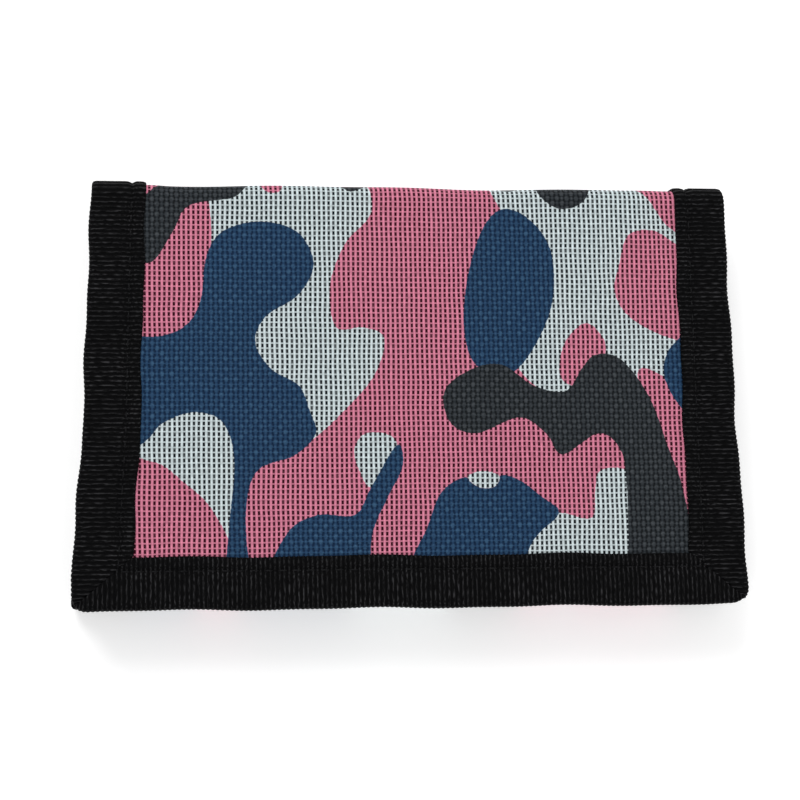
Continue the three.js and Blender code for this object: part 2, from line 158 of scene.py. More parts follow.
FRONT_LOW, FRONT_HIGH = corner_of("shell_front")
BACK_LOW = corner_of("shell_back")[0]
TOP_HIGH = corner_of("shell_top_fold")[1]
BOTTOM_LOW = corner_of("shell_bottom_fold")[0]
INNER_HIGH = corner_of("shell_inner")[1]
FOLD_RADIUS = 2.6
ARC_STEPS = 12
TOP_Y = TOP_HIGH[1]
BOTTOM_Y = BOTTOM_LOW[1]
FRONT_Z = FRONT_HIGH[2]
BACK_Z = BACK_LOW[2]
INNER_Z = INNER_HIGH[2]
FLAP_END = FRONT_LOW[1]
TURNS = [(FLAP_END, FRONT_Z), (TOP_Y, FRONT_Z), (TOP_Y, BACK_Z), (BOTTOM_Y, BACK_Z),
         (BOTTOM_Y, INNER_Z), (INNER_HIGH[1], INNER_Z)]


def folded_line():
    """Places (y, z) along the outer face, with every corner rounded by an arc."""
    places = [np.array(TURNS[0], float)]
    for before, here, after in zip(TURNS, TURNS[1:], TURNS[2:]):
        here = np.array(here, float)
        back = (np.array(before) - here) / np.linalg.norm(np.array(before) - here)
        on = (np.array(after) - here) / np.linalg.norm(np.array(after) - here)
        centre = here + (back + on) * FOLD_RADIUS
        for step in range(ARC_STEPS + 1):
            turn = step / ARC_STEPS * math.pi / 2
            places.append(centre - on * FOLD_RADIUS * math.cos(turn) - back * FOLD_RADIUS * math.sin(turn))
    places.append(np.array(TURNS[-1], float))
    return np.array(places)


LINE = folded_line()
LINE_AT = np.concatenate([[0], np.cumsum(np.linalg.norm(np.diff(LINE, axis=0), axis=1))]) + FLAP_END
LINE_END = LINE_AT[-1]
FINE = np.linspace(LINE_AT[0], LINE_END, 4000)
FINE_Y = np.interp(FINE, LINE_AT, LINE[:, 0])
FINE_Z = np.interp(FINE, LINE_AT, LINE[:, 1])
SLOPE = np.stack([np.gradient(FINE_Y), np.gradient(FINE_Z)], 1)
SLOPE /= np.linalg.norm(SLOPE, axis=1)[:, None]


def on_line(x, t, depth):
    """The point at x across, t along and depth inward from the outer face, in mm."""
    y = np.interp(t, FINE, FINE_Y, left=FINE_Y[0] + min(0, t - LINE_AT[0]))
    z = np.interp(t, FINE, FINE_Z)
    slope_y = np.interp(t, FINE, SLOPE[:, 0])
    slope_z = np.interp(t, FINE, SLOPE[:, 1])
    return Vector((x, y + slope_z * depth, z - slope_y * depth))


def along(y, z):
    """How far along the line the place (y, z) is."""
    return float(FINE[np.argmin((FINE_Y - y) ** 2 + (FINE_Z - z) ** 2)])


MID_TOP = along(TOP_Y, (FRONT_Z + BACK_Z) / 2)
MID_BACK = along(0, BACK_Z)
MID_BOTTOM = along(BOTTOM_Y, (INNER_Z + BACK_Z) / 2)
STRETCHES = [
    ("front", LINE_AT[0], MID_TOP, "top_fold", "front_flap",
     (TOP_Y, FRONT_Z - FOLD_RADIUS), (TOP_Y - FOLD_RADIUS, FRONT_Z)),
    ("back", MID_TOP, MID_BACK, "back_panel", "top_fold",
     (TOP_Y - FOLD_RADIUS, BACK_Z), (TOP_Y, BACK_Z + FOLD_RADIUS)),
    ("under", MID_BACK, MID_BOTTOM, "back_panel", "bottom_fold",
     (BOTTOM_Y + FOLD_RADIUS, BACK_Z), (BOTTOM_Y, BACK_Z + FOLD_RADIUS)),
    ("inner", MID_BOTTOM, LINE_END, "bottom_fold", "inner_flap",
     (BOTTOM_Y, INNER_Z - FOLD_RADIUS), (BOTTOM_Y + FOLD_RADIUS, INNER_Z)),
]
print("folded line, mm:", round(LINE_END - LINE_AT[0], 1))

# %% How the sides draw in
DRAWN_AT = [-34, -24, -6, 18, 38]
DRAWN_BY = [0, 0.25, 0.6, 0.78, 1.0]
DRAWN_MOST = {-1: 3.5, 1: 1.6}


def drawn_in(way, t):
    """The stack narrows towards the top fold, where the tape pulls the plies together."""
    y = np.interp(t, FINE, FINE_Y)
    return DRAWN_MOST[way] * float(np.interp(y, DRAWN_AT, DRAWN_BY))

CORNER_RADIUS = 3.0
CORNER_Y = corner_of("binding_front_bottom")[0][1]
CORNER_X = -corner_of("binding_front_left")[0][0]


def rounded_corner(x, y):
    """Turns the flap's two square lower corners into round ones."""
    dx = abs(x) - (CORNER_X - CORNER_RADIUS)
    dy = CORNER_Y + CORNER_RADIUS - y
    if dx <= 0 or dy <= 0:
        return x, y
    share = max(dx, dy) / math.hypot(dx, dy)
    return math.copysign(CORNER_X - CORNER_RADIUS + dx * share, x), CORNER_Y + CORNER_RADIUS - dy * share

# %% [markdown]
# Cloth never lies dead flat. A few slow waves of fixed size make each ply swell and dip a little,
# and give the same wallet at every run.

# %% Helpers for laying plies
def wave(a, b, seed=0.0):
    """A slow wander from -1 to 1."""
    return (math.sin(a * 0.11 + seed) * math.cos(b * 0.09 + seed * 1.7)
            + 0.5 * math.sin(a * 0.23 + b * 0.19 + seed * 2.3)) / 1.5


def finish_mesh(bm, name, material, smooth=True):
    mesh = bpy.data.meshes.new(name)
    bm.to_mesh(mesh)
    bm.free()
    for face in mesh.polygons:
        face.use_smooth = smooth
    piece = bpy.data.objects.new(name, mesh)
    bpy.context.scene.collection.objects.link(piece)
    mesh.materials.append(material)
    return piece


def thicken(piece, thickness):
    """Thickness goes inward, away from the side the faces point to."""
    wall = piece.modifiers.new("thickness", "SOLIDIFY")
    wall.thickness = thickness * MM
    wall.offset = -1
    wall.use_even_offset = False
    return piece


def laid_grid(columns, rows, place, outward):
    """A flat grid whose corners are put by place(column, row), with faces turned to outward."""
    bm = bmesh.new()
    bmesh.ops.create_grid(bm, x_segments=columns, y_segments=rows, size=0.5)
    uv = bm.loops.layers.uv.new("developed")
    flat = {}
    for vertex in bm.verts:
        column = round((vertex.co.x + 0.5) * columns)
        row = round((vertex.co.y + 0.5) * rows)
        point, chart = place(column, row)
        flat[vertex] = chart
        vertex.co = point * MM
    for face in bm.faces:
        for loop in face.loops:
            loop[uv].uv = flat[loop.vert]
    bm.normal_update()
    bm.faces.ensure_lookup_table()
    facing = sum(face.normal.dot(outward(face.calc_center_median() / MM)) * face.calc_area()
                 for face in bm.faces)
    if facing < 0:
        bmesh.ops.reverse_faces(bm, faces=bm.faces[:])
    return bm


def bend_stretch(piece):
    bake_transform(piece)

# %% [markdown]
# The print is a camouflage of rounded patches: pink, navy and charcoal on a pale ground. Each patch is
# a smooth closed curve through a few points. The mesh stores how far every point is inside a colour,
# and the material turns that distance into a crisp printed edge.

# %% The printed patches, mm from the middle of the front
PINK = [
    [(-58, 42), (-42, 43), (-38, 38), (-37, 28), (-39, 17), (-43, 9), (-58, 8)],
    [(-58, -14), (-48, -13), (-42, -17), (-37, -22), (-33, -31), (-34, -40), (-60, -40)],
    [(-6, 44), (-7, 34), (-12, 28), (-15, 20), (-14, 12), (-9, 12), (-5, 10), (-7, 3), (-13, -4),
     (-20, -10), (-30, -15), (-32, -28), (-30, -40), (40, -40), (44, -22), (45, -8), (34, -4),
     (22, 2), (18, 12), (19, 30), (16, 38), (14, 45)],
    [(40, 24), (42, 30), (47, 31), (52, 28), (60, 24), (60, 9), (50, 10), (42, 14), (39, 19)],
    [(44, 43), (47, 36), (51, 31), (60, 28), (60, 46)],
    [(33, 13), (36, 11), (37, 8), (35, 4), (31, 1), (28, 3), (29, 9)],
    [(43, 4), (49, 2), (53, -3), (60, -8), (60, -40), (50, -40), (45, -8)],
    [(-28, 42), (-27, 38), (-24, 38), (-24, 43)],
]
WHITE_ON_PINK = [
    [(-5, -8), (-3, -10), (-5, -14), (-8, -18), (-10, -15), (-11, -11), (-9, -8)],
    [(35, -15), (40, -15), (43, -20), (43, -40), (18, -40), (20, -29), (26, -23), (33, -24), (34, -19)],
]
NAVY = [
    [(-38, 25), (-35, 30), (-28, 32), (-21, 30), (-18, 24), (-21, 18), (-27, 14), (-29, 9), (-26, 4),
     (-21, 1), (-19, -4), (-18, -8), (-22, -12), (-29, -15), (-31, -24), (-30, -40), (-35, -40),
     (-34, -25), (-33, -13), (-35, -6), (-40, -4), (-46, -6), (-50, -10), (-60, -14), (-60, 10),
     (-48, 10), (-42, 12), (-39, 17)],
    [(-3, -10), (-2, -14), (-5, -20), (-8, -27), (-10, -40), (-28, -40), (-24, -27), (-18, -23),
     (-11, -23), (-8, -18)],
    [(14, 31), (18, 35), (23, 33), (27, 27), (27, 17), (23, 8), (18, 3), (12, 5), (10, 12), (11, 22)],
    [(-2, -34), (2, -26), (5, -19), (10, -16), (18, -16), (24, -20), (27, -23), (22, -28), (15, -40),
     (-2, -40)],
    [(60, 14), (51, 10), (48, 5), (49, 0), (53, -5), (60, -7)],
]
WHITE_ON_NAVY = [
    [(10, -16), (13, -15), (16, -16), (15, -18), (12, -18)],
]
CHARCOAL = [
    [(11, 4), (17, 5), (23, 1), (29, 0), (32, 4), (35, 7), (40, 6), (45, -1), (48, -10), (51, -20),
     (53, -40), (40, -40), (40, -28), (40, -17), (39, -11), (35, -8), (28, -12), (25, -8), (20, -5),
     (12, -8), (7, -6), (6, 0)],
    [(-48, 38), (-51, 34), (-51, 26), (-48, 24), (-44, 30), (-41, 35), (-32, 37), (-31, 43), (-43, 43)],
    [(26, 42), (25, 38), (29, 35), (34, 37), (35, 44)],
    [(-13, 41), (-11, 38), (-8, 40), (-8, 44), (-12, 44)],
    [(16, 42), (19, 39), (22, 41), (21, 44)],
]
CURVE_STEPS = 6


def smooth_outline(points):
    """A closed curve through the points, with rounded turns."""
    p = np.array(points, float)
    before, after, next_on = np.roll(p, 1, 0), np.roll(p, -1, 0), np.roll(p, -2, 0)
    pieces = []
    for step in range(CURVE_STEPS):
        s = step / CURVE_STEPS
        pieces.append(0.5 * (2 * p + (after - before) * s + (2 * before - 5 * p + 4 * after - next_on) * s * s
                             + (3 * p - before - 3 * after + next_on) * s ** 3))
    return np.stack(pieces, 1).reshape(-1, 2)


def inside_by(outline, x, y):
    """Distance inside a closed outline, negative outside."""
    a, b = outline, np.roll(outline, -1, 0)
    nearest = np.full(x.shape, 1e9)
    inside = np.zeros(x.shape, bool)
    for (ax, ay), (bx, by) in zip(a, b):
        run_x, run_y = bx - ax, by - ay
        share = np.clip(((x - ax) * run_x + (y - ay) * run_y) / (run_x ** 2 + run_y ** 2 + 1e-9), 0, 1)
        nearest = np.minimum(nearest, (x - ax - share * run_x) ** 2 + (y - ay - share * run_y) ** 2)
        crosses = (ay > y) != (by > y)
        inside ^= crosses & (x < ax + (y - ay) * run_x / (run_y if run_y else 1e-9))
    return np.where(inside, 1, -1) * np.sqrt(nearest)


PRINT_REPEAT = 80.0
PRINT_SHEAR = 0.35
PRINT_WIDTH = 124.0
FAR_OUTSIDE = -50.0


def paint(piece, chart):
    """Stores on each vertex how far it is inside pink, navy and charcoal."""
    x = chart[:, 0].copy()
    t = chart[:, 1] + PRINT_REPEAT / 2
    repeat = np.floor(t / PRINT_REPEAT)
    part = t - repeat * PRINT_REPEAT
    y = np.where(repeat % 2 == 1, PRINT_REPEAT - part, part) - PRINT_REPEAT / 2
    x += PRINT_SHEAR * np.clip(chart[:, 1] - PRINT_REPEAT / 2, 0, None)
    x = (x + PRINT_WIDTH / 2) % PRINT_WIDTH - PRINT_WIDTH / 2
    fields = {name: np.full(x.shape, FAR_OUTSIDE) for name in ("pink", "navy", "charcoal")}
    layers = [("pink", PINK), ("white", WHITE_ON_PINK), ("navy", NAVY), ("white", WHITE_ON_NAVY),
              ("charcoal", CHARCOAL)]
    for colour, outlines in layers:
        for points in outlines:
            depth = inside_by(smooth_outline(points), x, y)
            for name in fields:
                if name == colour:
                    fields[name] = np.maximum(fields[name], depth)
                elif colour == "white":
                    fields[name] = np.minimum(fields[name], -depth)
    for name, values in fields.items():
        store = piece.data.attributes.new(name, "FLOAT", "POINT")
        store.data.foreach_set("value", values.astype(np.float32))

# %% [markdown]
# The cloth is a coated open weave: thick threads with a small gap at every crossing. The gaps are coloured
# with painted shade, a dark copy of the print colour. The material works in the developed millimetres of
# the strip, so the weave bends with the cloth. A small wander in the coordinates keeps the rows from
# looking machine ruled.

# %% Material tools
class Nodes:
    """Short names for wiring a material."""

    def __init__(self, name):
        self.material = bpy.data.materials.new(name)
        self.material.use_nodes = True
        self.tree = self.material.node_tree
        self.shader = self.tree.nodes["Principled BSDF"]

    def new(self, kind, **settings):
        node = self.tree.nodes.new(kind)
        for key, value in settings.items():
            setattr(node, key, value)
        return node

    def wire(self, source, target):
        self.tree.links.new(source, target)

    def put(self, value, socket):
        if isinstance(value, (int, float, tuple)):
            socket.default_value = value
        else:
            self.wire(value, socket)

    def math(self, operation, a, b=0.0, c=0.0):
        node = self.new("ShaderNodeMath", operation=operation)
        for value, socket in zip((a, b, c), node.inputs):
            self.put(value, socket)
        return node.outputs[0]

    def ramp(self, value, low, high, to_low=0.0, to_high=1.0):
        node = self.new("ShaderNodeMapRange", interpolation_type="SMOOTHSTEP")
        for item, socket in zip((value, low, high, to_low, to_high), node.inputs):
            self.put(item, socket)
        return node.outputs[0]

    def mix(self, share, a, b):
        node = self.new("ShaderNodeMix", data_type="RGBA")
        self.put(share, node.inputs["Factor"])
        self.put(a, node.inputs[6])
        self.put(b, node.inputs[7])
        return node.outputs[2]

    def noise(self, vector, scale, detail=2.0):
        node = self.new("ShaderNodeTexNoise")
        node.inputs["Scale"].default_value = scale
        node.inputs["Detail"].default_value = detail
        if vector is not None:
            self.wire(vector, node.inputs["Vector"])
        return node.outputs[0]

    def uv(self):
        return self.new("ShaderNodeUVMap", uv_map="developed").outputs[0]

    def place(self):
        return self.new("ShaderNodeTexCoord").outputs["Object"]

    def split(self, vector):
        node = self.new("ShaderNodeSeparateXYZ")
        self.wire(vector, node.inputs[0])
        return node.outputs

    def bump(self, height, strength, distance):
        node = self.new("ShaderNodeBump")
        node.inputs["Strength"].default_value = strength
        node.inputs["Distance"].default_value = distance * MM
        self.wire(height, node.inputs["Height"])
        self.wire(node.outputs[0], self.shader.inputs["Normal"])

# %% Printed cloth
WEAVE_ACROSS = 0.90
WEAVE_ALONG = 0.97
# The gap colours are painted shade for the holes between the threads.
WHITE, WHITE_GAP_SHADE = (0.64, 0.73, 0.75, 1), (0.003, 0.006, 0.009, 1)
PINK_TONE, PINK_GAP_SHADE = (0.70, 0.225, 0.33, 1), (0.030, 0.001, 0.006, 1)
NAVY_TONE, NAVY_GAP_SHADE = (0.015, 0.046, 0.108, 1), (0.002, 0.009, 0.030, 1)
COAL_TONE, COAL_GAP_SHADE = (0.021, 0.026, 0.031, 1), (0.004, 0.005, 0.006, 1)
# painted highlight: paler tones for the thread crossings of the navy and charcoal print
NAVY_CROSSING_HIGHLIGHT = (0.045, 0.11, 0.20, 1)
COAL_CROSSING_HIGHLIGHT = (0.062, 0.07, 0.078, 1)


def woven(n):
    """Wires the weave: its gaps, upright threads, crossings, relief and slow grain."""
    chart = n.uv()
    x, t, _ = n.split(chart)
    sway = n.noise(chart, 0.12, 1)
    grain = n.noise(chart, 1.1, 2)
    across = n.math("DIVIDE", n.math("MULTIPLY_ADD", sway, 0.45, x), WEAVE_ACROSS)
    up_way = n.math("DIVIDE", n.math("MULTIPLY_ADD", sway, -0.4, t), WEAVE_ALONG)
    off_x = n.math("ABSOLUTE", n.math("SUBTRACT", n.math("FRACT", across), 0.5))
    off_y = n.math("ABSOLUTE", n.math("SUBTRACT", n.math("FRACT", up_way), 0.5))
    gap_x = n.ramp(off_x, 0.17, 0.31, 1.0, 0.0)
    gap_y = n.ramp(off_y, 0.29, 0.43, 1.0, 0.0)
    gap = n.math("MULTIPLY", gap_x, gap_y)
    gap = n.math("MULTIPLY", gap, n.ramp(grain, 0.25, 0.55, 0.8, 1.0))
    upright = n.ramp(off_x, 0.2, 0.45)
    slant = n.math("MULTIPLY", n.math("COSINE", n.math("MULTIPLY", across, math.pi)),
                   n.math("COSINE", n.math("MULTIPLY", up_way, math.pi)))
    crossing = n.ramp(n.math("ABSOLUTE", n.math("ADD", slant, 0.25)), 0.15, 0.85)
    height = n.math("SUBTRACT", n.math("MULTIPLY_ADD", upright, 0.4, n.ramp(off_y, 0.1, 0.5)), gap)
    return chart, gap, upright, crossing, height, grain


def printed_cloth():
    n = Nodes("printed_cloth")
    chart, gap, upright, crossing, height, grain = woven(n)
    edge = n.math("MULTIPLY_ADD", n.noise(chart, 1.6, 1), 0.3, -0.15)
    shares = []
    for name in ("pink", "navy", "charcoal"):
        depth = n.new("ShaderNodeAttribute", attribute_name=name).outputs["Fac"]
        shares.append(n.ramp(n.math("ADD", depth, edge), -0.07, 0.07))
    # painted highlight: the raised upright threads are made lighter; the grain ramp is a random tone laid
    # over all
    light = n.math("MULTIPLY_ADD", upright, 0.22, n.ramp(grain, 0.25, 0.75, 0.70, 1.0))
    thread = n.mix(shares[0], WHITE, PINK_TONE)
    # painted shade: the holes between the threads take a dark copy of the thread colour
    hole_shade = n.mix(shares[0], WHITE_GAP_SHADE, PINK_GAP_SHADE)
    dark = n.math("MAXIMUM", shares[1], shares[2])
    shown = n.new("ShaderNodeVectorMath", operation="SCALE")
    n.wire(thread, shown.inputs[0])
    n.wire(light, shown.inputs["Scale"])
    woven_colour = n.mix(gap, shown.outputs[0], hole_shade)
    # painted shade in the holes of the navy and charcoal weave
    navy = n.mix(n.ramp(gap, 0.0, 0.9, 0.0, 0.75), NAVY_TONE, NAVY_GAP_SHADE)
    # painted highlight on the navy thread crossings, in random patches
    navy = n.mix(n.math("MULTIPLY", crossing, n.ramp(grain, 0.38, 0.66, 0.25, 0.9)), navy, NAVY_CROSSING_HIGHLIGHT)
    coal = n.mix(n.ramp(gap, 0.0, 0.9, 0.0, 0.8), COAL_TONE, COAL_GAP_SHADE)
    # painted highlight on the charcoal thread crossings, in random patches
    coal = n.mix(n.math("MULTIPLY", crossing, n.ramp(grain, 0.38, 0.66, 0.35, 1.0)), coal, COAL_CROSSING_HIGHLIGHT)
    woven_colour = n.mix(shares[1], woven_colour, navy)
    woven_colour = n.mix(shares[2], woven_colour, coal)
    n.wire(woven_colour, n.shader.inputs["Base Color"])
    n.wire(n.ramp(dark, 0, 1, 0.75, 0.6), n.shader.inputs["Roughness"])
    n.shader.inputs["Specular IOR Level"].default_value = 0.06
    n.bump(height, 0.55, 0.16)
    return n.material


PRINTED_CLOTH = printed_cloth()

# %% [markdown]
# Grosgrain is a tape with thick ribs across its width. The ribs are modelled, and the material only
# adds the fine threads on them, a painted highlight of paler broken dashes on the crowns and a dull sheen.

# %% Tape, lining and trim materials
def thread_material(name, low, high, fine, roughness, sheen, depth):
    """A dense cloth whose tone wanders between two colours, with fine threads in relief."""
    n = Nodes(name)
    at = n.place()
    speck = n.noise(at, fine / MM, 3)
    patch = n.noise(at, 0.06 / MM, 2)
    tone = n.math("MULTIPLY_ADD", speck, 0.7, n.math("MULTIPLY", patch, 0.4))
    n.wire(n.mix(n.ramp(tone, 0.35, 0.8), low, high), n.shader.inputs["Base Color"])
    n.wire(n.ramp(speck, 0.2, 0.8, roughness + 0.08, roughness - 0.08), n.shader.inputs["Roughness"])
    n.shader.inputs["Sheen Weight"].default_value = sheen
    n.shader.inputs["Specular IOR Level"].default_value = 0.1
    n.bump(speck, 0.5, depth)
    return n.material


RIB_PITCH = 0.86


def grosgrain_material():
    """Black ribs whose crowns catch the light in short broken threads."""
    n = Nodes("grosgrain")
    chart = n.uv()
    across, run, _ = n.split(chart)
    crown = n.math("ABSOLUTE", n.math("COSINE", n.math("MULTIPLY", run, math.pi / RIB_PITCH)))
    crown = n.math("POWER", crown, 5.0)
    stretched = n.new("ShaderNodeMapping")
    n.wire(chart, stretched.inputs["Vector"])
    stretched.inputs["Scale"].default_value = (0.9, 2.6, 1.0)
    dashes = n.ramp(n.noise(stretched.outputs[0], 1.5, 2), 0.42, 0.68)
    patch = n.ramp(n.noise(chart, 0.12, 2), 0.35, 0.65, 0.45, 1.0)
    threads = n.math("SINE", n.math("MULTIPLY", across, 2 * math.pi / 0.34))
    lit = n.math("MULTIPLY", n.math("MULTIPLY", crown, dashes), patch)
    # painted highlight: the rib crowns turn paler in short broken dashes
    n.wire(n.mix(lit, (0.0016, 0.0016, 0.0019, 1), (0.048, 0.048, 0.051, 1)), n.shader.inputs["Base Color"])
    n.wire(n.ramp(crown, 0, 1, 0.8, 0.5), n.shader.inputs["Roughness"])
    n.shader.inputs["Specular IOR Level"].default_value = 0.06
    n.bump(n.math("MULTIPLY_ADD", threads, 0.12, crown), 0.6, 0.12)
    return n.material


def lining_material():
    n = Nodes("lining")
    at = n.place()
    x, y, z = n.split(at)
    lines = n.math("SINE", n.math("MULTIPLY", n.math("ADD", x, z), 2 * math.pi / (0.45 * MM)))
    rows = n.math("SINE", n.math("MULTIPLY", n.math("ADD", y, z), 2 * math.pi / (0.45 * MM)))
    height = n.math("MULTIPLY", lines, rows)
    patch = n.noise(at, 0.08 / MM, 2)
    tone = n.math("MULTIPLY_ADD", height, 0.2, patch)
    n.wire(n.mix(n.ramp(tone, 0.2, 0.8), (0.012, 0.012, 0.014, 1), (0.032, 0.033, 0.036, 1)),
           n.shader.inputs["Base Color"])
    n.shader.inputs["Roughness"].default_value = 0.6
    n.shader.inputs["Sheen Weight"].default_value = 0.15
    n.bump(height, 0.35, 0.05)
    return n.material


def metal_material():
    n = Nodes("zip_metal")
    at = n.place()
    scuff = n.noise(at, 1.6 / MM, 4)
    n.wire(n.mix(n.ramp(scuff, 0.3, 0.7), (0.42, 0.42, 0.43, 1), (0.62, 0.62, 0.61, 1)),
           n.shader.inputs["Base Color"])
    n.wire(n.ramp(scuff, 0.3, 0.7, 0.42, 0.26), n.shader.inputs["Roughness"])
    n.shader.inputs["Metallic"].default_value = 1.0
    n.bump(scuff, 0.12, 0.03)
    return n.material


def vinyl_material():
    n = Nodes("clear_vinyl")
    ripple = n.noise(n.place(), 0.12 / MM, 1)
    n.shader.inputs["Base Color"].default_value = (0.85, 0.88, 0.9, 1)
    n.wire(n.ramp(ripple, 0.3, 0.7, 0.10, 0.2), n.shader.inputs["Roughness"])
    n.shader.inputs["Alpha"].default_value = 0.18
    n.shader.inputs["IOR"].default_value = 1.5
    n.bump(ripple, 0.3, 0.3)
    return n.material


GROSGRAIN = grosgrain_material()
STITCH = thread_material("stitch_thread", (0.003, 0.003, 0.004, 1), (0.013, 0.013, 0.014, 1),
                         4.0, 0.5, 0.05, 0.03)
HOOK = thread_material("hook_tape", (0.008, 0.008, 0.009, 1), (0.025, 0.025, 0.027, 1), 1.2, 0.5, 0.1, 0.1)
LOOP = thread_material("loop_tape", (0.006, 0.006, 0.007, 1), (0.03, 0.03, 0.032, 1), 2.2, 0.85, 0.6, 0.3)
ZIP_TAPE = thread_material("zip_tape", (0.007, 0.007, 0.008, 1), (0.022, 0.022, 0.024, 1),
                           2.5, 0.7, 0.2, 0.05)
ZIP_COIL = thread_material("zip_coil", (0.012, 0.012, 0.013, 1), (0.03, 0.03, 0.032, 1), 1.0, 0.35, 0.0, 0.02)
LINING = lining_material()
METAL = metal_material()
VINYL = vinyl_material()

# %% [markdown]
# The shell is made in four stretches, each of which crosses one crease. They meet in the middle of a
# panel.

# %% Lay the printed shell
SHELL_THICKNESS = FRONT_HIGH[2] - FRONT_LOW[2]
CLOTH_STEP = 0.75
SWELL = 0.28


COVER_X = 49.0  # the binding presses the cloth flat outside this
COVER_T = -28.0
COVER_FADE = 4.0


def lay_cloth(name, stretch, left_of, right_of, depth, material, swell):
    """A ply along one stretch, between the edges left_of(t) and right_of(t)."""
    first, last = stretch[1], stretch[2]
    columns = round((right_of(first) - left_of(first)) / CLOTH_STEP)
    rows = round((last - first) / CLOTH_STEP)

    def place(column, row):
        t = first + (last - first) * row / rows
        left, right = left_of(t), right_of(t)
        if left < -55:
            left += drawn_in(-1, t)
        if right > 55:
            right -= drawn_in(1, t)
        x = left + (right - left) * column / columns
        edge = min(column, columns - column) / columns
        under_side = min(1, max(0, (COVER_X - abs(x)) / COVER_FADE))
        under_end = min(1, max(0, (t - COVER_T) / COVER_FADE))
        rise = swell * wave(x, t) * min(1, edge * 16) * under_side * under_end
        laid_x, laid_t = rounded_corner(x, t)
        return on_line(laid_x, laid_t, depth - rise), (x, t)

    def outward(centre):
        t = along(centre.y, centre.z)
        return on_line(0, t, 0) - on_line(0, t, 1)

    return finish_mesh(laid_grid(columns, rows, place, outward), name, material)


def chart_of(piece):
    """The developed place of every vertex, read back from its UV map."""
    chart = np.zeros((len(piece.data.vertices), 2))
    uv = piece.data.uv_layers["developed"].data
    for loop, item in zip(piece.data.loops, uv):
        chart[loop.vertex_index] = item.uv
    return chart


SHELL_NODES = {"front": ["shell_front"], "back": ["shell_top_fold", "shell_back"],
               "under": ["shell_bottom_fold"], "inner": ["shell_inner"]}
BOTTOM_CREASE = along(BOTTOM_Y, BACK_Z)
for stretch in STRETCHES:
    half = (FRONT_HIGH if stretch[0] in ("front", "back") else INNER_HIGH)[0]
    shell = lay_cloth("printed_shell_" + stretch[0], stretch, lambda t, w=half: -w, lambda t, w=half: w,
                      0.0, PRINTED_CLOTH, SWELL)
    paint(shell, chart_of(shell))
    shell.data.materials.append(LINING)
    thicken(shell, SHELL_THICKNESS).modifiers["thickness"].material_offset = 1
    bend_stretch(shell)
    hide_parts(*SHELL_NODES[stretch[0]])
    print(shell.name, len(shell.data.polygons), "faces")

# %% Lay the lining
LINER_LOW, LINER_HIGH = corner_of("liner_back")
INNER_LINER = corner_of("liner_inner")
LINER_DEPTH = LINER_LOW[2] - BACK_Z
LINER_THICKNESS = LINER_HIGH[2] - LINER_LOW[2]
LINER_NODES = {"front": ["liner_front"], "back": ["liner_top_fold", "liner_back"],
               "under": ["liner_bottom_fold"], "inner": ["liner_inner"]}


def lining_left(t):
    return float(np.interp(t, [BOTTOM_CREASE - 3, BOTTOM_CREASE], [LINER_LOW[0], INNER_LINER[0][0]]))


def lining_right(t):
    """The lining stops short on the right, which leaves the note compartment open there."""
    return float(np.interp(t, [BOTTOM_CREASE - 3, BOTTOM_CREASE], [LINER_HIGH[0], INNER_LINER[1][0]]))


for stretch in STRETCHES:
    lining = lay_cloth("lining_" + stretch[0], stretch, lining_left, lining_right,
                       INNER_Z - INNER_LINER[1][2] if stretch[0] == "inner" else LINER_DEPTH, LINING, 0.03)
    thicken(lining, LINER_THICKNESS)
    bend_stretch(lining)
    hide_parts(*LINER_NODES[stretch[0]])

# %% [markdown]
# The binding is a tape folded round the raw edge. Its cross-section is a U: a flat arm on the outside,
# a round turn at the edge and a second arm inside. Sweeping the U along the folded line, and letting it
# swell and sink once every rib, gives the corded silhouette of grosgrain.

# %% Binding profile
RIB_STEPS = 5
RIB_HEIGHT = 0.15
TAPE_THICKNESS = 0.55
TAPE_PROUD = 0.6
GROOVE_FROM_EDGE = 2.6


OUTER_ARM_SHARES = (0.13, 0.18, 0.21, 0.24, 0.27, 0.31, 0.37, 0.47, 0.59, 0.72, 0.85)
INNER_ARM_SHARES = (0.9, 0.75, 0.5, 0.28, 0.1, 0.01)
TURN_FROM_EDGE = 0.75  # where the outer arm starts to turn round the edge


def u_profile(inner_edge, outer_edge, inside_depth):
    """(across, depth, ribbed share) round the tape, from its outer arm's edge to its inner arm's."""
    span = outer_edge - inner_edge
    way = 1 if span > 0 else -1
    profile = [(inner_edge, -0.02, 0.6), (inner_edge + 0.08 * way, -0.38, 1),
               (inner_edge + 0.5 * way, -0.55, 1)]
    for share in OUTER_ARM_SHARES:
        groove = 0.36 * math.exp(-((share * abs(span) - GROOVE_FROM_EDGE) / 0.45) ** 2)
        profile.append((inner_edge + span * share, -TAPE_PROUD + groove, 1))
    profile += [(outer_edge - TURN_FROM_EDGE * way, -TAPE_PROUD, 1),
                (outer_edge - 0.3 * way, -TAPE_PROUD + 0.12, 1),
                (outer_edge - 0.05 * way, -TAPE_PROUD + 0.45, 1), (outer_edge, -TAPE_PROUD + 0.8, 1)]
    profile += [(outer_edge, inside_depth - 0.8, 1), (outer_edge - 0.05 * way, inside_depth - 0.45, 1),
                (outer_edge - 0.3 * way, inside_depth - 0.12, 1)]
    for share in INNER_ARM_SHARES:
        profile.append((inner_edge + span * share, inside_depth, 1))
    profile.append((inner_edge, inside_depth - TAPE_THICKNESS * 0.9, 0.6))
    return profile


def rib(distance):
    return RIB_HEIGHT * (abs(math.cos(math.pi * distance / RIB_PITCH)) - 0.6)


